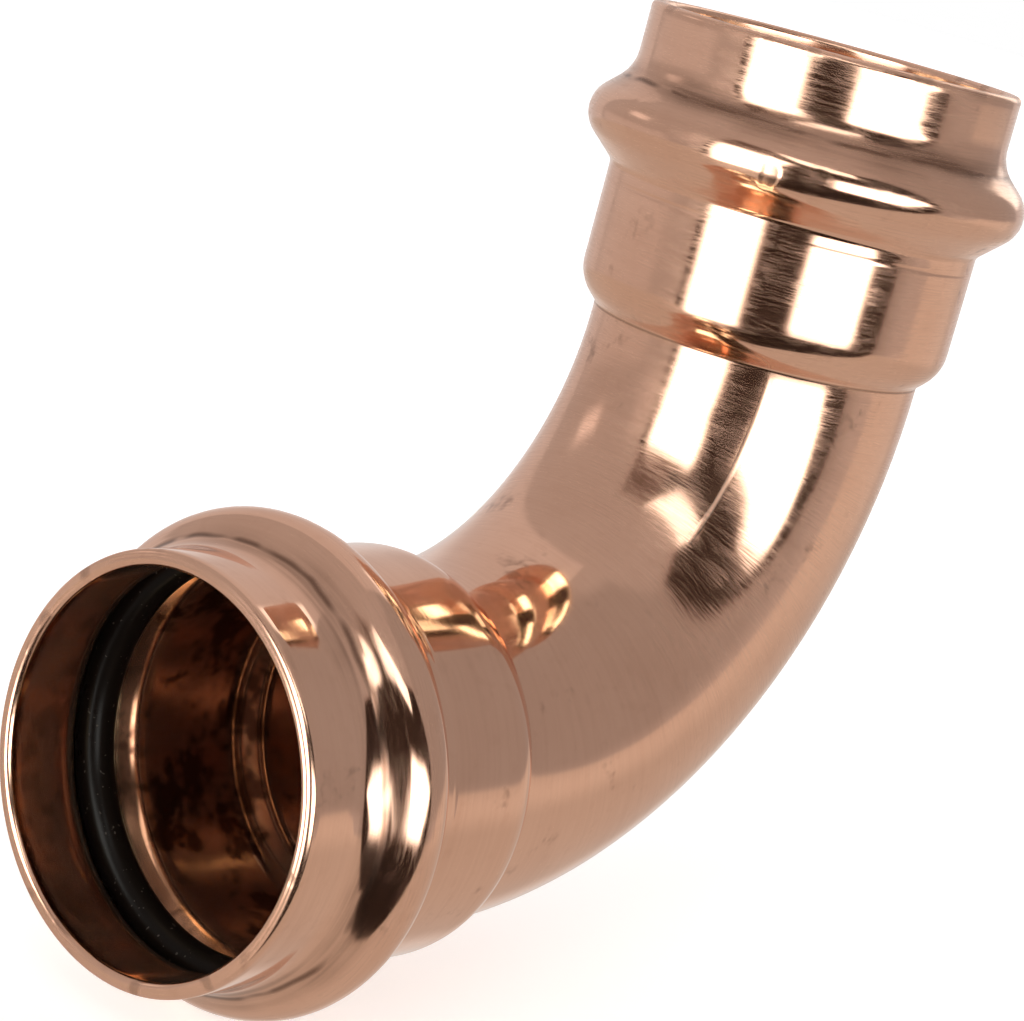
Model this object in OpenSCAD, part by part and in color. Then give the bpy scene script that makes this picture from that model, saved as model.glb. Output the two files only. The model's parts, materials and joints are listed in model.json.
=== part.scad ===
// Press-fit pipe elbow: one formed copper tube with a beaded socket at each
// end, and a rubber sealing ring in the groove inside each bead.
// The front socket's mouth is centred on the origin and faces -Y, the bend
// turns upwards, and the upper socket's mouth faces +Z when the bend is square.

/* [Pipe sockets] */
// Bore that the pipe slides into
socket_bore = 28.2; // [26.8:0.1:32]
// Thickness of the tube wall
wall = 1.2; // [0.9:0.05:1.5]
// Mouth to the foot of the shoulder
socket_len = 24.6; // [22.5:0.1:36]
// Rounding of the two edges of the mouth
rim_r = 0.5; // [0.2:0.05:0.6]

/* [Beads and sealing rings] */
// Mouth to the middle of the bead
bead_pos = 9.4; // [8.2:0.1:11]
// Angle between the sides of the bead and the pipe's axis
bead_angle = 47; // [40:1:52]
// Fillet between the mouth collar and the bead
front_fillet = 3.4; // [0.8:0.1:3.6]
// Fillet between the bead and the socket
rear_fillet = 0.8; // [0.4:0.1:2]
// Thickness of the sealing ring's cord
ring_cord = 2.9; // [2.6:0.1:3.3]
// How far the sealing ring stands into the bore
ring_proud = 0.15; // [0.05:0.05:0.5]
// Gap between the sealing ring and the floor of its groove
ring_gap = 0.05; // [0.02:0.01:0.15]

/* [Shoulders and bend] */
// Outside diameter of the bent tube
tube_od = 27.2; // [24:0.1:28.2]
// Angle between the shoulder's cone and the pipe's axis
shoulder_angle = 45; // [38:1:55]
// Rounding where the socket turns into the shoulder
shoulder_r = 3.5; // [2.5:0.1:4]
// Fillet where the shoulder meets the bent tube
crease_fillet = 0.5; // [0.2:0.05:0.8]
// Straight tube between the shoulder and the bend
tail_len = 0.5; // [0.4:0.1:20]
// Radius of the bend's centre line
bend_r = 32.5; // [26:0.5:70]
// Angle that the tube turns through
bend_angle = 90; // [15:15:90]

/* [Hidden] */
$fn = 96;
COPPER = "#c07f5c";
RUBBER = "#1b1b1c";
bore_r = socket_bore / 2;
socket_r = bore_r + wall;
tube_r = tube_od / 2;
end_len = socket_len + tail_len;
rim_round = min(rim_r, 0.45 * wall);
ring_r = bore_r - ring_proud + ring_cord / 2;
crest_r = ring_cord / 2 + ring_gap + wall;
// How far a cutting outline runs past the two ends of a socket
overrun = 1;
// How much larger a corner piece is than the corner that it blends
past = 1.2;
// How much larger its circle is, so that it crosses the lines and leaves no sliver
bite = 0.0005;

function unit(v) = v / norm(v);

// Half of a socket as a solid, in [radius, distance from the mouth], with
// sharp corners and its surface an even inset below the outside of the wall.
function apex(inset) = [ring_r + (crest_r - inset) / cos(bead_angle), bead_pos];
function foot(inset, side) =
    let (r = socket_r - inset)
    [r, bead_pos + side * (apex(inset)[0] - r) / tan(bead_angle)];
function cone_point(inset, r) =
    [r, socket_len - inset / sin(shoulder_angle) + (tube_r - r) / tan(shoulder_angle)];
function shoulder(inset) = cone_point(inset, socket_r - inset);
function crease(inset) = cone_point(inset, tube_r - inset);
function outline(inset, over) = [
    [0, -over],
    [socket_r - inset, -over],
    foot(inset, -1),
    apex(inset),
    foot(inset, 1),
    shoulder(inset),
    crease(inset),
    [tube_r - inset, end_len + over],
    [0, end_len + over],
];

// What a rounding of radius r takes off, or a fillet fills in, at the corner
// k of the line from a through k to b. It runs a little past the line.
module corner_piece(a, k, b, r) {
    ua = unit(a - k);
    ub = unit(b - k);
    half = acos(ua * ub) / 2;
    reach = r / tan(half);
    centre = k + unit(ua + ub) * r / sin(half);
    translate(centre)
        difference() {
            polygon(past * [[0, 0], k + ua * reach - centre, k - centre, k + ub * reach - centre]);
            circle(r + bite);
        }
}

// The same half section with its corners blended. A rounding gets tighter
// and a fillet wider with the inset, so the wall keeps one thickness.
module blended_outline(inset, over = 0) {
    p = outline(inset, over);
    difference() {
        union() {
            polygon(p);
            corner_piece(p[1], p[2], p[3], front_fillet + inset);
            corner_piece(p[3], p[4], p[5], rear_fillet + inset);
            corner_piece(p[5], p[6], p[7], crease_fillet + inset);
        }
        corner_piece(p[2], p[3], p[4], crest_r - inset);
        corner_piece(p[4], p[5], p[6], shoulder_r - inset);
    }
}

// The formed wall of one socket, from its mouth to the start of the bend.
module socket_section() {
    inner_edge = [bore_r, 0];
    outer_edge = [socket_r, 0];
    difference() {
        blended_outline(0);
        blended_outline(wall, overrun);
        corner_piece(outer_edge, inner_edge, [bore_r, bead_pos], rim_round);
        corner_piece(inner_edge, outer_edge, [socket_r, bead_pos], rim_round);
    }
}

// Each socket is drawn with its mouth at the origin and the pipe's way in
// along +Z. These two put it at its end of the bend.
module at_front_mouth() rotate([-90, 0, 0]) children();

module at_upper_mouth()
    translate([0, end_len, bend_r])
    rotate([bend_angle, 0, 0])
    translate([0, end_len, -bend_r])
    rotate([90, 0, 0])
    children();

module bent_tube()
    translate([0, end_len, bend_r])
    rotate([0, 90, 0])
    rotate_extrude(angle = bend_angle)
    translate([bend_r, 0])
    difference() {
        circle(tube_r);
        circle(tube_r - wall);
    }

module elbow_body()
    color(COPPER) {
        at_front_mouth() rotate_extrude() socket_section();
        bent_tube();
        at_upper_mouth() rotate_extrude() socket_section();
    }

module sealing_ring()
    color(RUBBER)
    translate([0, 0, bead_pos])
    rotate_extrude()
    translate([ring_r, 0])
    circle(ring_cord / 2);

module front_o_ring() at_front_mouth() sealing_ring();

module upper_o_ring() at_upper_mouth() sealing_ring();

elbow_body();
front_o_ring();
upper_o_ring();
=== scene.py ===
# %% [markdown]
# # A press-fit pipe elbow
#
# The object is a copper elbow that joins two water pipes at a right angle. It is one
# piece of tube: both ends were widened into sockets, a bead was rolled round each socket,
# and the middle was bent. A black rubber ring lies in the groove inside each bead.
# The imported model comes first, because every size below is read from it or fits it.

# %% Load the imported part
import json
import math

import bpy
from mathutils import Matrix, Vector


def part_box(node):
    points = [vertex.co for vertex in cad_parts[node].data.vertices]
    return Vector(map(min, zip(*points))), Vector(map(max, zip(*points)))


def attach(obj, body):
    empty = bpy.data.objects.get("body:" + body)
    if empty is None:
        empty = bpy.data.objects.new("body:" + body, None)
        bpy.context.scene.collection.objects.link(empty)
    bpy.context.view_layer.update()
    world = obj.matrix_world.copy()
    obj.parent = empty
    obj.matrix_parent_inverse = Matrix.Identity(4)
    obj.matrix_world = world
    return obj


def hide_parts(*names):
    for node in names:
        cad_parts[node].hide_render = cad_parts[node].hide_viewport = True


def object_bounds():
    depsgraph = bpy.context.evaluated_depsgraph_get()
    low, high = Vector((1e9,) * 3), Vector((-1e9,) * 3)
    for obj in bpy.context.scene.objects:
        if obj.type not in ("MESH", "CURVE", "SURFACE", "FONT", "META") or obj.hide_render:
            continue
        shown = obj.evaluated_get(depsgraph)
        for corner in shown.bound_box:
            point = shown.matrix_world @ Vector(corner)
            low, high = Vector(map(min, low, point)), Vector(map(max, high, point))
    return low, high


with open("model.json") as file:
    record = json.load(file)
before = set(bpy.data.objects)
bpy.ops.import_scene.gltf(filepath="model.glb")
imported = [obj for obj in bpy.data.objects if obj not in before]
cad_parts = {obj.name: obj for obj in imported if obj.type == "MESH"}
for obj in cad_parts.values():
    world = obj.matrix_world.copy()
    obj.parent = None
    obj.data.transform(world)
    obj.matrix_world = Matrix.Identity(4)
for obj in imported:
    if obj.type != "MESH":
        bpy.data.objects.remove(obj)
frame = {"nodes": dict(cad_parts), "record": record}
cad_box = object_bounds()
scene = bpy.context.scene
scene.view_settings.view_transform = "Standard"
print("CAD box:", [tuple(round(1000 * value, 2) for value in corner) for corner in cad_box], "mm")

# %% [markdown]
# ## Sizes
#
# The bore is written in the record, and the boxes of the body and its ring give the bead,
# the ring and the radius of the bend. The others are the wall, the lengths and the blends.
# They could all be typed in, but reading what can be read keeps the scene and the solids
# from drifting apart. Every length is in metres, like everything in this scene.

# %% Read the sizes
MM = 0.001
body_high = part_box("elbow_body")[1]
ring_low, ring_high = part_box("front_o_ring")
mounts = {mount["name"]: mount for mount in frame["record"]["mounts"]}
bore_r = mounts["front_socket"]["dims"]["r_mm"] * MM
cord_r = (ring_high.y - ring_low.y) / 2
bead_at = (ring_high.y + ring_low.y) / 2
ring_r = ring_high.x - cord_r
crest_r = body_high.x - ring_r
wall = 1.2 * MM
socket_r = bore_r + wall
tube_r = 13.6 * MM
socket_len = 24.6 * MM
end_len = 25.1 * MM
bend_r = body_high.z - end_len
bend_angle = math.radians(90)
whole_len = 2 * end_len + bend_r * bend_angle
print(f"bore {bore_r / MM:.2f}, bead at {bead_at / MM:.2f}, ring {ring_r / MM:.2f}, "
      f"crest {crest_r / MM:.2f}, bend {bend_r / MM:.2f}, along {whole_len / MM:.2f} mm")

# %% [markdown]
# ## The section of the wall
#
# Cut the fitting open along its pipe and straighten it, and the cut wall is one closed
# line: out along the outside from mouth to mouth, and back along the inside. It is drawn
# here as sharp corners, each with the radius that blends it. The inside is the same line
# set in by the wall, with tighter roundings and wider fillets, so that the wall keeps one
# thickness as real formed tube does. Each corner is (along, out, blend).

# %% Draw the corners of one socket
bead_side = math.radians(47)
cone_side = math.radians(45)
rim_round = 0.5 * MM
front_fillet = 3.4 * MM
rear_fillet = 0.8 * MM
shoulder_round = 3.5 * MM
crease_fillet = 0.5 * MM


def socket_corners(inset):
    """From the mouth to the start of the bend, along the pipe, at a depth below the outside."""
    out = socket_r - inset
    tip = ring_r + (crest_r - inset) / math.cos(bead_side)
    foot = (tip - out) / math.tan(bead_side)
    crease = socket_len - inset / math.sin(cone_side) + inset / math.tan(cone_side)
    shoulder = crease - (socket_r - tube_r) / math.tan(cone_side)
    return [
        (0.0, out, rim_round),
        (bead_at - foot, out, front_fillet + inset),
        (bead_at, tip, crest_r - inset),
        (bead_at + foot, out, rear_fillet + inset),
        (shoulder, out, shoulder_round - inset),
        (crease, tube_r - inset, crease_fillet + inset),
    ]


def mouth_to_mouth(inset):
    """Both sockets on one straight line, the second a mirror of the first."""
    first = socket_corners(inset)
    second = [(whole_len - along, out, blend) for along, out, blend in reversed(first)]
    return first + second


outside = mouth_to_mouth(0.0)
inside = mouth_to_mouth(wall)
print(len(outside), "corners outside,", len(inside), "inside")

# %% [markdown]
# A corner becomes an arc that touches both of its lines, and a long straight run is cut
# into short steps so that it can bend later. The third number of each point says whether
# it belongs to the inside of the wall, which gets a finish of its own.

# %% Blend the corners and step along the straights
arc_step = math.radians(8)
outside_step = 0.72 * MM
inside_step = 1.2 * MM


def blended(corners, is_inside, longest):
    """The points of a closed line of corners, with arcs at the corners and short steps between."""
    line = []
    for number, (along, out, blend) in enumerate(corners):
        corner = Vector((along, out))
        before = Vector(corners[number - 1][:2]) - corner
        after = Vector(corners[(number + 1) % len(corners)][:2]) - corner
        before.normalize()
        after.normalize()
        half = before.angle(after) / 2
        centre = corner + (before + after).normalized() * blend / math.sin(half)
        start = corner + before * blend / math.tan(half) - centre
        turn = math.pi - 2 * half
        steps = max(3, math.ceil(turn / arc_step))
        sense = 1 if before.cross(start) > 0 else -1
        for step in range(steps + 1):
            angle = sense * turn * step / steps
            turned = Vector((start.x * math.cos(angle) - start.y * math.sin(angle),
                             start.x * math.sin(angle) + start.y * math.cos(angle)))
            line.append((centre + turned, is_inside[number], longest[number]))
    stepped = []
    for number, (point, flag, pitch) in enumerate(line):
        following = line[(number + 1) % len(line)][0]
        pieces = max(1, math.ceil((following - point).length / pitch))
        for piece in range(pieces):
            place = point.lerp(following, piece / pieces)
            stepped.append((place.x, place.y, flag))
    return stepped


loop = outside + inside[::-1]
flags = [0.0] * len(outside) + [1.0] * len(inside)
pitches = [outside_step] * len(outside) + [inside_step] * len(inside)
section_points = blended(loop, flags, pitches)
print(len(section_points), "points round the section")

# %% [markdown]
# ## Sums on sockets
#
# Node trees are sums drawn as boxes and wires. This small class holds one output socket and
# lets Python's own operators add the Math nodes, so that a rule in a tree reads like the
# rule on paper. Every other kind of node comes from the one method called node. It could
# be done with the plain calls, but ten lines of links would hide each line of thought.

# %% Write sums on sockets
class Wire:
    """An output socket that sums can be written with, in a shader or a geometry tree."""

    def __init__(self, tree, socket=None):
        self.tree = tree
        self.socket = socket

    def node(self, kind, settings=None, inputs=None, output=0):
        """Adds a node: its settings are set first, then its sockets get values or links."""
        made = self.tree.nodes.new(kind)
        for name, value in (settings or {}).items():
            setattr(made, name, value)
        for key, value in (inputs or {}).items():
            target = self.find(made.inputs, key)
            if isinstance(value, Wire):
                self.tree.links.new(value.socket, target)
            else:
                target.default_value = value
        return Wire(self.tree, self.find(made.outputs, output) if made.outputs else None)

    def find(self, sockets, key):
        """A node's socket by its number, its identifier or its name."""
        if isinstance(key, int):
            return sockets[key]
        named = [socket for socket in sockets if socket.identifier == key]
        named += [socket for socket in sockets if socket.name == key]
        return named[0]

    def out(self, output):
        """Another output of the node that this socket is on."""
        return Wire(self.tree, self.find(self.socket.node.outputs, output))

    def sum(self, operation, *values):
        return self.node("ShaderNodeMath", {"operation": operation}, dict(enumerate(values)))

    def __add__(self, other):
        return self.sum("ADD", self, other)

    def __radd__(self, other):
        return self.sum("ADD", other, self)

    def __sub__(self, other):
        return self.sum("SUBTRACT", self, other)

    def __rsub__(self, other):
        return self.sum("SUBTRACT", other, self)

    def __mul__(self, other):
        return self.sum("MULTIPLY", self, other)

    def __rmul__(self, other):
        return self.sum("MULTIPLY", other, self)

    def __truediv__(self, other):
        return self.sum("DIVIDE", self, other)

    def least(self, other):
        return self.sum("MINIMUM", self, other)

    def most(self, other):
        return self.sum("MAXIMUM", self, other)

    def floor(self):
        return self.sum("FLOOR", self)

    def size(self):
        return self.sum("ABSOLUTE", self)

    def sin(self):
        return self.sum("SINE", self)

    def cos(self):
        return self.sum("COSINE", self)

    def rise(self, start, end):
        """0 before start, 1 after end and a soft climb between; start may be the larger one."""
        settings = {"interpolation_type": "SMOOTHSTEP"}
        inputs = {"Value": self, "From Min": start, "From Max": end, "To Min": 0.0, "To Max": 1.0}
        return self.node("ShaderNodeMapRange", settings, inputs)

    def xyz(self):
        """The three parts of a vector."""
        parts = self.node("ShaderNodeSeparateXYZ", inputs={0: self})
        return parts, parts.out(1), parts.out(2)

    def vector(self, x, y, z):
        return self.node("ShaderNodeCombineXYZ", inputs={0: x, 1: y, 2: z})

    def spread(self, factors):
        """A vector times another, part by part."""
        return self.node("ShaderNodeVectorMath", {"operation": "MULTIPLY"}, {0: self, 1: factors})

    def noise(self, scale, detail=2.0, roughness=0.5):
        """Cloudy noise from 0 to 1 at this place, with so many lumps to the metre."""
        inputs = {"Vector": self, "Scale": scale, "Detail": detail, "Roughness": roughness}
        return self.node("ShaderNodeTexNoise", inputs=inputs)

    def tint(self, share, first, second):
        """A colour that goes from first to second as share goes from 0 to 1."""
        settings = {"data_type": "RGBA"}
        inputs = {"Factor_Float": share, "A_Color": first, "B_Color": second}
        return self.node("ShaderNodeMix", settings, inputs, "Result_Color")


print("sums ready")

# %% [markdown]
# ## Lathe it, then bend it
#
# The factory starts from straight tube, and so does this tree: it turns the section round
# the pipe's line and then bends the middle. A Mesh Grid has one column for each point of
# the section and one row for each step round the pipe. Set Position moves every corner of
# the grid: before the bend it goes straight, along the bend it follows an arc, and past it
# goes straight again. A spun mesh and a Simple Deform would do it too, but here the rule is
# plain to read, and the wave in the metal is added before bending.

# %% Build the bending tree
around_steps = 220
wave_height = 0.05 * MM
wave_count = 95.0
wave_seed = 7.0
bending = bpy.data.node_groups.new("lathe_and_bend", "GeometryNodeTree")
face = bending.interface
face.new_socket("Geometry", in_out="OUTPUT", socket_type="NodeSocketGeometry")
face.new_socket("Section", in_out="INPUT", socket_type="NodeSocketGeometry")
tree_inputs = [
    ("Section points", "NodeSocketInt", len(section_points)),
    ("Steps round the pipe", "NodeSocketInt", around_steps),
    ("End length", "NodeSocketFloat", end_len),
    ("Bend radius", "NodeSocketFloat", bend_r),
    ("Bend angle", "NodeSocketFloat", bend_angle),
    ("Tube radius", "NodeSocketFloat", tube_r),
    ("Wave height", "NodeSocketFloat", wave_height),
    ("Waves to the metre", "NodeSocketFloat", wave_count),
    ("Wave seed", "NodeSocketFloat", wave_seed),
    ("Finish", "NodeSocketMaterial", None),
]
keys = {name: face.new_socket(name, in_out="INPUT", socket_type=kind).identifier
        for name, kind, _ in tree_inputs}
print(len(keys), "named inputs")

# %% [markdown]
# The grid's corners are numbered column by column, so a corner's number gives its column,
# which is a point of the section, and its row, which is an angle round the pipe.

# %% Turn the section round the pipe
given = Wire(bending).node("NodeGroupInput")
columns = given.out("Section points")
rows = given.out("Steps round the pipe")
number = given.node("GeometryNodeInputIndex")
column = (number / (rows + 1.0)).floor()
row = number - column * (rows + 1.0)
wrapped = column - columns * (column / columns).floor()
place = given.node("GeometryNodeInputPosition")
picked = given.node("GeometryNodeSampleIndex", {"data_type": "FLOAT_VECTOR", "domain": "POINT"},
                    {"Geometry": given.out("Section"), "Value": place, "Index": wrapped})
along, out, inner = picked.xyz()
turn = row * (2 * math.pi) / rows
straight = given.vector(along, turn.cos() * given.out("Tube radius"),
                        turn.sin() * given.out("Tube radius"))
wave = straight.node("ShaderNodeTexNoise", {"noise_dimensions": "4D"},
                     {"Vector": straight, "W": given.out("Wave seed"), "Detail": 1.0,
                      "Scale": given.out("Waves to the metre")})
radius = out + (wave - 0.5) * given.out("Wave height")
print(len(bending.nodes), "nodes turn the section")

# %% [markdown]
# Along the pipe's line, "swept" is the angle already bent, and the two straight lengths
# are what lies before and after the bend. The place on the straight tube is kept as an
# attribute called unrolled, so that the finish can follow the metal round the bend.

# %% Bend the tube
seam_gap = 1e-6
bend_radius = given.out("Bend radius")
bend_total = given.out("Bend angle")
first_end = given.out("End length")
swept = ((along - first_end) / bend_radius).most(0.0).least(bend_total)
before = along.least(first_end)
after = (along - first_end - bend_radius * bend_total).most(0.0)
line_y = before + bend_radius * swept.sin() + after * swept.cos()
line_z = bend_radius * (1.0 - swept.cos()) + after * swept.sin()
lift = radius * turn.sin()
bent = given.vector(radius * turn.cos(), line_y - lift * swept.sin(), line_z + lift * swept.cos())
grid = given.node("GeometryNodeMeshGrid",
                  inputs={"Vertices X": columns + 1.0, "Vertices Y": rows + 1.0})
kept = given.node("GeometryNodeStoreNamedAttribute", {"data_type": "FLOAT_VECTOR", "domain": "POINT"},
                  {"Geometry": grid, "Name": "unrolled", "Value": straight})
kept = given.node("GeometryNodeStoreNamedAttribute", {"data_type": "FLOAT", "domain": "POINT"},
                  {"Geometry": kept, "Name": "inside", "Value": inner})
shaped = given.node("GeometryNodeSetPosition", inputs={"Geometry": kept, "Position": bent})
closed = given.node("GeometryNodeMergeByDistance", inputs={"Geometry": shaped, "Distance": seam_gap})
smooth = given.node("GeometryNodeSetShadeSmooth", inputs={"Geometry": closed})
real = given.node("GeometryNodeRealizeInstances", inputs={"Geometry": smooth})
coated = given.node("GeometryNodeSetMaterial",
                    inputs={"Geometry": real, "Material": given.out("Finish")})
given.node("NodeGroupOutput", inputs={"Geometry": coated})
print(len(bending.nodes), "nodes in the bending tree")

# %% [markdown]
# ## The copper's finish
#
# The metal is bare copper, drawn, formed and tumbled: a soft mirror with fine hairlines
# round the pipe, a few scratches from handling, and dull brown oxide inside. A finish is
# made of places first. "lie" is the place on the straight tube, which follows the metal
# round the bend, and "spot" is the place in the object. From them come the distance to the
# nearer mouth and the angle round the pipe, and "sheet" is the tube cut open and laid flat.

# %% Find where each spot of copper lies
copper = bpy.data.materials.new("formed_copper")
copper.use_nodes = True
copper.node_tree.nodes.clear()
paint = Wire(copper.node_tree)
spot = paint.node("ShaderNodeTexCoord", output="Object")
lie = paint.node("ShaderNodeAttribute", {"attribute_name": "unrolled"}, output="Vector")
inner = paint.node("ShaderNodeAttribute", {"attribute_name": "inside"}, output="Fac")
outer = 1.0 - inner
along, over, beside = lie.xyz()
from_mouth = along.least(whole_len - along)
angle = paint.sum("ARCTAN2", beside, over) * (180 / math.pi)
sheet = paint.vector(along, angle * (tube_r * math.pi / 180), inner * 0.1)
print(len(copper.node_tree.nodes), "nodes find the place")

# %% [markdown]
# Most marks on this part sit on a line: so far from the mouth, or at one angle round the
# pipe. A stripe is 1 on such a line and falls softly to 0 beside it. Two slow clouds of
# noise are shared by everything below, so that marks come and go together as wear does.

# %% Prepare stripes and clouds
def stripe(value, centre, half_width):
    """1 on a line across a value, falling softly to 0 at half a width to each side."""
    return (value - centre).size().rise(half_width, 0.0)


patch_count = 75.0
share_count = 420.0
patch = spot.noise(patch_count, 0.0)
share = spot.noise(share_count, 0.0)
on_bend = from_mouth.rise(end_len - 1 * MM, end_len + 3 * MM)
print("clouds of about", round(1000 / patch_count), "and", round(1000 / share_count, 1), "mm")

# %% [markdown]
# Hairlines are noise that is stretched long round the pipe and squeezed short along it,
# and a slow warp keeps them from lying dead straight. They could be drawn as thousands of
# curves, but light only sees their slopes, so they go into a Bump with everything else that
# is too fine for the mesh. On the side of the bend they are strong, where it was ground off.

# %% Draw the hairlines
hair_count = 3800.0
ground_at = 53.0 * MM
ground_angle = 33.0
warp = (spot.noise(160.0, 0.0) - 0.5) * (1.6 * MM)
drawn = paint.vector(along + warp, over, beside)
hair = drawn.spread((hair_count, 330.0, 330.0)).noise(1.0, 1.0) - 0.5
ground_off = stripe(along, ground_at, 11.0 * MM) * stripe(angle, ground_angle, 27.0)
brushed = 0.12 * patch.rise(0.2, 0.6) + 0.8 * ground_off
print("hairlines about", round(1000 / hair_count, 2), "mm apart")

# %% [markdown]
# A scratch is where a cloud of noise crosses one exact level: that draws thin lines. The
# cloud is stretched so far one way that they come out nearly straight, and a second cloud
# lets only short pieces through. Two sets are wide enough to see, and two finer ones, called
# fuzz, mostly blur what the metal mirrors. The upper half and the beads are worn the most.

# %% Scratch it
stretch = 18
scratch_count = 2300.0


def scratches(tilt, across, thin):
    """Thin straight lines; tilt is in degrees from round the pipe, across in lines to the metre."""
    turned = paint.node("ShaderNodeMapping", inputs={
        "Vector": sheet, "Rotation": (0.0, 0.0, math.radians(tilt)),
        "Scale": (across, across / stretch, 1.0)})
    return (turned.noise(1.0, 0.0) - 0.5).size().rise(thin, 0.0)


upper = along.rise(38.0 * MM, 52.0 * MM)
worn = (0.2 + 0.8 * upper).most(0.8 * stripe(from_mouth, bead_at, 5.0 * MM))
first_set = scratches(38.0, scratch_count, 0.1) * share.rise(0.52, 0.6)
second_set = scratches(-55.0, 2600.0, 0.1) * share.rise(0.48, 0.4)
scratched = first_set.most(second_set) * worn
first_fuzz = scratches(12.0, 5200.0, 0.15) * patch.rise(0.3, 0.6)
second_fuzz = scratches(-64.0, 4600.0, 0.15) * share.rise(0.4, 0.6)
fuzz = first_fuzz.most(second_fuzz) * worn
print("scratches about", round(1000 / scratch_count, 2), "mm apart, and finer fuzz")

# %% [markdown]
# The tools left marks too. The roller that made the bead left a crease in front of it and a second line
# behind it. The crease before the bead gets a dark line of painted shade, with a wider band round it that
# is darker in patches, and the corner where the shoulder meets the tube gets painted shade too. The
# halves of the bending die met in a fine ridge that runs along the bend. The cut edge of each mouth is
# dull and a little nicked, and the upper bead has a few knocks.

# %% Mark where the tools were
valley_at = 6.3 * MM
behind_at = 14.45 * MM
ridge_angle = 49.0
wander = (lie.spread((90.0, 150.0, 150.0)).noise(1.0, 2.0) - 0.5) * (1.1 * MM)
# Painted shade: the colour darkens along the crease before the bead, which the bump also cuts in as a
# groove.
valley = stripe(from_mouth + wander, valley_at, 0.4 * MM) * (0.3 + 0.7 * share.rise(0.3, 0.6)) * outer
# A wider band round that crease, darker in patches.
valley_band = stripe(from_mouth + 2.0 * wander, valley_at - 0.2 * MM, 1.7 * MM) * patch.rise(0.25, 0.5) * outer
behind = stripe(from_mouth + 0.15 * wander, behind_at, 0.3 * MM)
behind = behind * (0.5 + 0.5 * patch.rise(0.3, 0.6)) * outer
ridge = stripe(angle, ridge_angle, 1.2) * along.rise(54.0 * MM, 57.0 * MM) * on_bend * outer
# Painted shade: a dark line in the colour where the shoulder meets the tube.
crease = stripe(from_mouth, socket_len + 0.1 * MM, 0.16 * MM) * outer
edge = stripe(from_mouth, 0.0, 0.9 * MM)
nicks = share.rise(0.62, 0.74) * edge
knocks = share.rise(0.64, 0.8) * stripe(from_mouth, bead_at, 4.0 * MM) * upper * outer
print("tool marks", round(valley_at / MM, 2), "and", round(behind_at / MM, 2), "mm from each mouth")

# %% [markdown]
# Colour next, the outside first. Clean copper drifts between a pink and a browner tone in clouds, in
# faint streaks round the pipe and in flecks. Stains and nicks hold a little dirt, and the creases get
# painted shade of the same dark brown.

# %% Colour the outside
clean = (0.88, 0.545, 0.395, 1.0)
toned = (0.74, 0.43, 0.30, 1.0)
# The dark brown that stains and nicks take as dirt, and that the painted shade in the creases takes too.
dirt_and_shade_brown = (0.20, 0.105, 0.07, 1.0)
cloud = spot.noise(55.0, 3.0, 0.6)
fleck = spot.noise(900.0, 1.0)
streak = sheet.spread((1500.0, 60.0, 1.0)).noise(1.0, 2.0, 0.6)
tone = cloud.rise(0.35, 0.72) * 0.5 + streak.rise(0.35, 0.75) * 0.2 + fleck.rise(0.55, 0.75) * 0.15
stain = spot.noise(140.0, 4.0, 0.7).rise(0.6, 0.72) * fleck.rise(0.35, 0.6) * 0.5
# How dark that band gets: more on the upper socket and along the streaks.
valley_band_darkening = valley_band * (0.2 + 0.25 * upper + 0.4 * streak.rise(0.4, 0.65))
# One mask for real stains and nicks, and for the painted shade in the creases with the darker band round
# the crease before the bead.
dirt_and_shade = (valley * 0.9).most(valley_band_darkening).most(stain).most(crease * 0.6).most(nicks * 0.4)
skin = paint.tint(dirt_and_shade, paint.tint(tone, clean, toned), dirt_and_shade_brown)
print("outside from", clean[:3], "to", toned[:3])

# %% [markdown]
# The inside was never cleaned. It is dull and brown, and past the ring come darker blotches
# where the oil of the forming tools burned on. Nearly all of it stays metal, because oxide
# this thin only dims what the copper mirrors, and a small share scatters light like paint.

# %% Colour the inside
dull = (0.57, 0.29, 0.17, 1.0)
burnt = (0.10, 0.038, 0.02, 1.0)
oxide = inner * from_mouth.rise(0.5 * MM, 1.6 * MM)
past_ring = from_mouth.rise(10.5 * MM, 12.0 * MM)
blotch = spot.noise(230.0, 3.0, 0.65).rise(0.48, 0.6) * (0.35 + 0.4 * past_ring)
blotch = blotch + 0.22 * past_ring + 0.2 * fleck.rise(0.4, 0.8)
colour = paint.tint(oxide, skin, paint.tint(blotch, dull, burnt))
print("inside from", dull[:3], "to", burnt[:3])

# %% [markdown]
# Roughness says how sharply the metal mirrors. The outside is close to a mirror, blurred by the fuzz, by
# the dirt and painted shade marks and by the cut edge, and the inside is duller. The Bump takes all
# heights in metres, so a hairline is a few thousandths of a millimetre deep, as on the real thing.
# Towards each mouth the outside rolls off a little, which widens the glint on its edge.

# %% Make the mirror of copper
um = 0.001 * MM
edge_roll = 60 * um
gloss = 0.035 + 0.04 * cloud + 0.04 * worn + 0.15 * dirt_and_shade + 0.1 * fuzz + 0.13 * edge
roughness = gloss * (1.0 - oxide) + (0.13 + 0.1 * blotch) * oxide
relief = hair * brushed * outer * (7 * um) + fleck * inner * (2.5 * um)
relief = relief - valley * (13 * um) - behind * (22 * um) + ridge * (8 * um)
relief = relief - (nicks + knocks) * (20 * um) - edge * outer * edge_roll
dented = paint.node("ShaderNodeBump", inputs={"Strength": 1.0, "Distance": 1.0, "Height": relief})
metal = paint.node("ShaderNodeBsdfPrincipled", inputs={
    "Base Color": colour, "Metallic": 1.0 - 0.1 * oxide, "Roughness": roughness, "Normal": dented})
print("relief up to", round(edge_roll / MM, 3), "mm")

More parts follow.
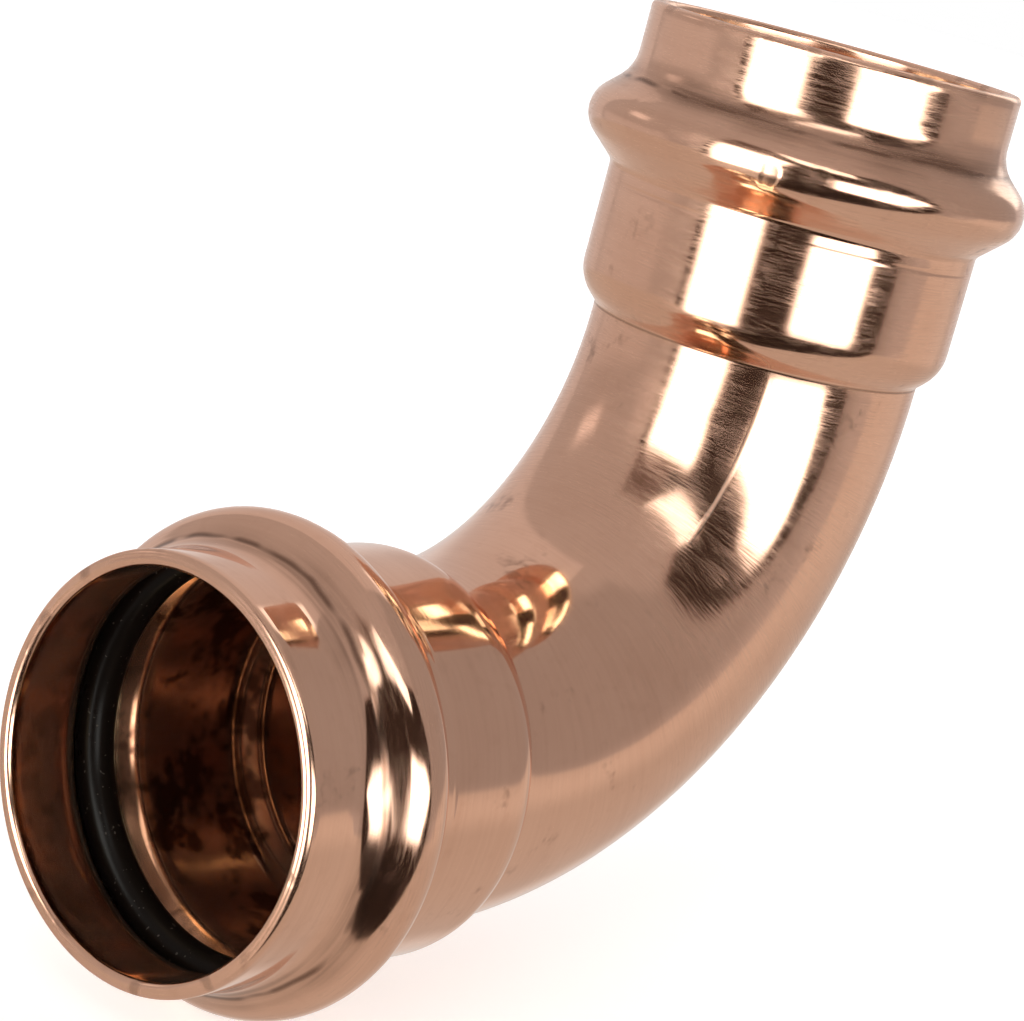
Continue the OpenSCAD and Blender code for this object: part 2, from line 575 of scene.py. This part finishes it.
# %% [markdown]
# A scratch is torn metal that throws light about, so it shows as a pale line in a dark mirror
# image and as a faint dark one in a bright one. A second, rougher copper is mixed in along
# the scratches and the die's ridge for that. A very little of it everywhere stands for the
# scratches that are too fine to see.

# %% Mix in the torn copper
torn_roughness = 0.32
torn = paint.node("ShaderNodeBsdfPrincipled", inputs={
    "Base Color": colour, "Metallic": 1.0, "Roughness": torn_roughness, "Normal": dented})
veil = (0.008 * worn + 0.2 * scratched + 0.04 * fuzz) * outer + 0.75 * ridge
surface = paint.node("ShaderNodeMixShader", inputs={0: veil, 1: metal, 2: torn})
paint.node("ShaderNodeOutputMaterial", inputs={"Surface": surface})
print(len(copper.node_tree.nodes), "nodes in the copper")

# %% [markdown]
# ## Make the elbow
#
# The section goes in as a mesh of loose points, and the tree bends it into the elbow. The
# inputs are set before the tree first runs. The result is then kept as a plain mesh, because
# the finished part should need no tree to be opened, moved or exported.

# %% Run the tree
section_mesh = bpy.data.meshes.new("section")
section_mesh.from_pydata(section_points, [], [])
elbow = bpy.data.objects.new("elbow", section_mesh)
scene.collection.objects.link(elbow)
modifier = elbow.modifiers.new("lathe_and_bend", "NODES")
modifier.node_group = bending
for name, _, value in tree_inputs:
    modifier[keys[name]] = copper if name == "Finish" else value
evaluated = elbow.evaluated_get(bpy.context.evaluated_depsgraph_get())
plain = bpy.data.meshes.new_from_object(evaluated)
plain.name = "elbow"
elbow.modifiers.clear()
elbow.data = plain
bpy.data.meshes.remove(section_mesh)
print(len(plain.vertices), "points in the elbow")

# %% [markdown]
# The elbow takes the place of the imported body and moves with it. Its volume is a quick test
# of the whole construction: it comes out positive only if every face looks outwards, and it
# should agree with the 11.3 cm3 of the solid.

# %% Put it in place of the body
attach(elbow, "root")
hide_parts("elbow_body")
plain.calc_loop_triangles()
volume = 0.0
for triangle in plain.loop_triangles:
    a, b, c = [plain.vertices[corner].co for corner in triangle.vertices]
    volume += a.cross(b).dot(c) / 6
print(len(plain.loop_triangles), "triangles,", round(volume * 1e6, 2), "cm3")

# %% [markdown]
# ## The sealing rings
#
# Each ring is a plain cord of black rubber, and the solid from the CAD already has that
# shape, so it stays and only gets a finish: nearly black, slightly shiny where it is
# greased, with a fine skin and some dust that the grease has caught.

# %% Finish the rubber
rubber = bpy.data.materials.new("greased_rubber")
rubber.use_nodes = True
rubber.node_tree.nodes.clear()
paint = Wire(rubber.node_tree)
spot = paint.node("ShaderNodeTexCoord", output="Object")
skin = spot.noise(2600.0, 1.0)
smear = spot.noise(240.0, 2.0)
dust = spot.noise(3400.0, 0.0).rise(0.76, 0.82)
black = (0.007, 0.005, 0.004, 1.0)
dusty = (0.24, 0.21, 0.18, 1.0)
colour = paint.tint(dust * 0.25, black, dusty)
relief = skin * (6 * um) + dust * (10 * um)
dented = paint.node("ShaderNodeBump", inputs={"Strength": 1.0, "Distance": 1.0, "Height": relief})
cord = paint.node("ShaderNodeBsdfPrincipled", inputs={
    "Base Color": colour, "Roughness": 0.22 + 0.15 * smear + 0.3 * dust,
    "Specular IOR Level": 0.1, "Normal": dented})
paint.node("ShaderNodeOutputMaterial", inputs={"Surface": cord})
print(len(rubber.node_tree.nodes), "nodes in the rubber")

# %% [markdown]
# Both rings come out of one mould, so they share one rubber. It goes on the solids as they
# were packed, and their shape stays untouched.

# %% Give it to both rings
for name in ("front_o_ring", "upper_o_ring"):
    ring_mesh = frame["nodes"][name].data
    ring_mesh.materials.clear()
    ring_mesh.materials.append(rubber)
    print(name, "has", len(ring_mesh.polygons), "faces of rubber")

# %% [markdown]
# ## Camera
#
# The mouths and beads are circles, and a circle seen at a slant is an ellipse, so the ellipses
# in the photograph fix where the camera stood: about 0.2 m from the part, a little above it,
# and tilted. It looks at neither end squarely. The two shifts slide the frame over the
# picture without turning the camera, which keeps the perspective that was fitted.

# %% Place the camera
camera_data = bpy.data.cameras.new("camera")
camera_data.lens = 99.038
camera_data.sensor_width = 36.0
camera_data.shift_x = -0.0848
camera_data.shift_y = -0.0498
camera_data.clip_start = 0.005
camera = bpy.data.objects.new("camera", camera_data)
camera.location = (0.126419, -0.13307, 0.064672)
camera.rotation_euler = [math.radians(degrees) for degrees in (78.565, -14.88, 38.983)]
scene.collection.objects.link(camera)
scene.camera = camera
print("camera", round(camera.location.length, 3), "m from the front mouth")

# %% [markdown]
# ## Floor
#
# A plain pale sheet carries the part and its soft shadow. The camera sees a little more of it
# than the light alone would show, through Light Path's Is Camera Ray, so that the sheet runs
# into the white background without an edge, and no more light falls on the copper for that.
# The metal mirrors the pale ground of the studio below in place of the sheet.

# %% Lay the floor
reach = 4.0
level = cad_box[0].z
floor_mesh = bpy.data.meshes.new("floor")
floor_mesh.from_pydata([(-reach, -reach, level), (reach, -reach, level),
                        (reach, reach, level), (-reach, reach, level)], [], [(0, 1, 2, 3)])
floor = bpy.data.objects.new("floor", floor_mesh)
scene.collection.objects.link(floor)
floor.visible_glossy = False
print("floor at", round(level / MM, 2), "mm")

# %% [markdown]
# The sheet is matt white paper. A grey one under more light would look alike here, but more
# light would change the copper too.

# %% Finish the floor
paper_white = (0.9, 0.9, 0.9, 1.0)
paper_lift = 0.55
pale = bpy.data.materials.new("pale_floor")
pale.use_nodes = True
pale.node_tree.nodes.clear()
start = Wire(pale.node_tree)
rays = start.node("ShaderNodeLightPath")
matt = start.node("ShaderNodeBsdfDiffuse", inputs={"Color": paper_white})
glow = start.node("ShaderNodeEmission", inputs={"Strength": rays.out("Is Camera Ray") * paper_lift})
both = start.node("ShaderNodeAddShader", inputs={0: matt, 1: glow})
start.node("ShaderNodeOutputMaterial", inputs={"Surface": both})
floor_mesh.materials.append(pale)
print("floor is matt white")

# %% [markdown]
# ## Studio
#
# Bright metal has hardly any look of its own: it shows the room. The room here is a pale
# tent with two large soft boxes, a third overhead, and a dark gap between and around them,
# which gives the copper its long white and brown bands. It is painted on the world by
# direction: "compass" goes round from the front mouth's side, and "height" goes up, both in
# degrees. Lamps and cards would do it too, but on the world one line sets one panel. Rays
# find the panels by mirroring, so the world needs no light sampling of its own.

# %% Start the studio
world = bpy.data.worlds.new("studio")
scene.world = world
world.use_nodes = True
world.node_tree.nodes.clear()
world.cycles.sampling_method = "NONE"
start = Wire(world.node_tree)
east, north, up = start.node("ShaderNodeTexCoord", output="Generated").xyz()
compass = start.sum("ARCTAN2", east, 0.0 - north) * (180 / math.pi)
height = start.sum("ARCSINE", up) * (180 / math.pi)


def panel(left, right, low, high, soft):
    """1 inside a panel of the studio wall, in degrees round and up, with soft edges."""
    sides = compass.rise(left - soft, left + soft) * compass.rise(right + soft, right - soft)
    ends = height.rise(low - soft, low + soft) * height.rise(high + soft, high - soft)
    return sides * ends


print(len(world.node_tree.nodes), "nodes know the direction")

# %% [markdown]
# The tent is grey at about half strength, a little lighter behind on the left and darker
# behind on the right, with a few brighter places and a seam. The ground is lighter than the
# tent, starts a little below the horizon, and has two brighter places.

# %% Hang the tent and lay the ground
tent_level = 0.48
ground_level = 0.57
left_behind = compass.rise(-97.0, -101.0)
beside_box = panel(-34.0, -18.0, 2.0, 30.0, 4.0)
above_ground = panel(-97.0, -42.0, -12.0, 1.0, 4.0)
seam = panel(-100.5, -98.0, -20.0, 60.0, 1.5)
right_behind = panel(88.0, 181.0, -20.0, 75.0, 5.0)
bright_spot = panel(-76.0, -62.0, 15.0, 24.0, 3.5)
tent = tent_level + 0.16 * left_behind + 0.12 * beside_box + 0.12 * above_ground
tent = tent - 0.12 * seam - 0.09 * right_behind + 0.55 * bright_spot
horizon = 9.0 * compass.rise(126.0, 140.0) - 11.0
ground = height.rise(horizon + 1.5, horizon - 1.5)
near_ground = panel(-15.0, 14.0, -50.0, -22.0, 4.0)
far_ground = panel(118.0, 173.0, -14.0, -3.0, 5.0)
studio = tent * (1.0 - ground) + ground_level * ground
studio = studio + 0.15 * near_ground + 0.13 * far_ground
print("tent about", tent_level, "and ground about", ground_level)

# %% [markdown]
# Dark cloths frame the soft boxes. Without them the boxes would melt into the tent, and the
# metal would look like pink plaster. One edge leans in as it rises and as it sinks.

# %% Hang the dark cloths
cloth_level = 0.036
rising = height * height * 0.012
sinking = height.least(0.0)
right_cloth = panel(14.0, 110.0 - rising - sinking * sinking * 0.013, -54.0, 47.0, 2.0)
left_cloth = panel(-20.5, 0.0, -16.0, 34.0, 1.2)
top_cloth = panel(-17.0, 30.0, 30.0, 53.0, 2.0)
cloth = right_cloth.most(left_cloth).most(0.7 * top_cloth)
fold = panel(24.0, 70.0, -50.0, -16.0, 5.0)
studio = studio * (1.0 - cloth) + (cloth_level - 0.01 * fold) * cloth
print("cloths at", cloth_level)

# %% [markdown]
# The soft boxes come last, over the cloths. The masks of the two large ones are squared, so
# that their edges fade slowly, as a lamp behind a cloth does. All boxes fill about 7 % of the
# directions, so at this strength the light from everywhere together comes to about 0.9, at
# which a colour renders about as it is written. A weak box behind the part, which this camera
# hardly meets, gives the back of the copper something to mirror.

# %% Switch on the soft boxes
blur = 5.0
box_strength = 5.6
left_box = panel(-14.5, 20.0 + (height - 12.0).most(0.0) * 0.4, -22.0, 32.5, blur)
right_box = panel(50.0, 91.0 + (height + 6.0).most(0.0).least(13.0), -11.0,
                  18.0 - (compass - 88.0).most(0.0) * 0.55, blur)
top_box = panel(15.0 + (52.0 - height) * 1.25, 64.0, 43.0 - compass * 0.11, 55.5 - compass * 0.16, 1.5)
rear_box = panel(-178.0, -160.0, 8.0, 55.0, 3.0)
boxes = left_box.most(right_box)
boxes = (boxes * boxes).most(0.45 * top_box).most(0.16 * rear_box)
studio = studio + box_strength * boxes
print("soft boxes at", box_strength)

# %% [markdown]
# The background is white for rays that come straight from the camera, or through something
# clear. Where the metal mirrors what lies behind the part it shows that pale backdrop too,
# through Is Glossy Ray, and everywhere else it shows the studio. The tent is a slightly warm
# white, the ground a warmer one, and the cloths are brown. A soft box that is mirrored twice
# would come out red, while the photo has it golden, perhaps because red was at its limit in
# the camera. Glossy Depth counts how often a ray was mirrored, and tints the boxes for that.

# %% Show a white background
rays = start.node("ShaderNodeLightPath")
backdrop = panel(-166.0, -124.0, -48.0, 10.0, 8.0)
white = rays.out("Is Camera Ray").most(rays.out("Is Transmission Ray"))
white = white.most(rays.out("Is Glossy Ray") * backdrop * 0.4)
twice = rays.out("Glossy Depth").rise(1.0, 2.0)
tent_colour = (1.0, 0.93, 0.90, 1.0)
ground_colour = (1.0, 0.90, 0.81, 1.0)
cloth_colour = (1.0, 0.70, 0.57, 1.0)
box_colour = (1.0, 1.0, 0.96, 1.0)
box_colour_twice = (1.0, 1.36, 1.28, 1.0)
pure_white = (1.0, 1.0, 1.0, 1.0)
colour = start.tint(ground, tent_colour, ground_colour)
colour = start.tint(cloth, colour, cloth_colour)
colour = start.tint(boxes.rise(0.0, 0.1), colour, start.tint(twice, box_colour, box_colour_twice))
colour = start.tint(white, colour, pure_white)
seen = studio * (1.0 - white) + white
sky = start.node("ShaderNodeBackground", inputs={"Color": colour, "Strength": seen})
start.node("ShaderNodeOutputWorld", inputs={"Surface": sky})
print(len(world.node_tree.nodes), "nodes in the studio")
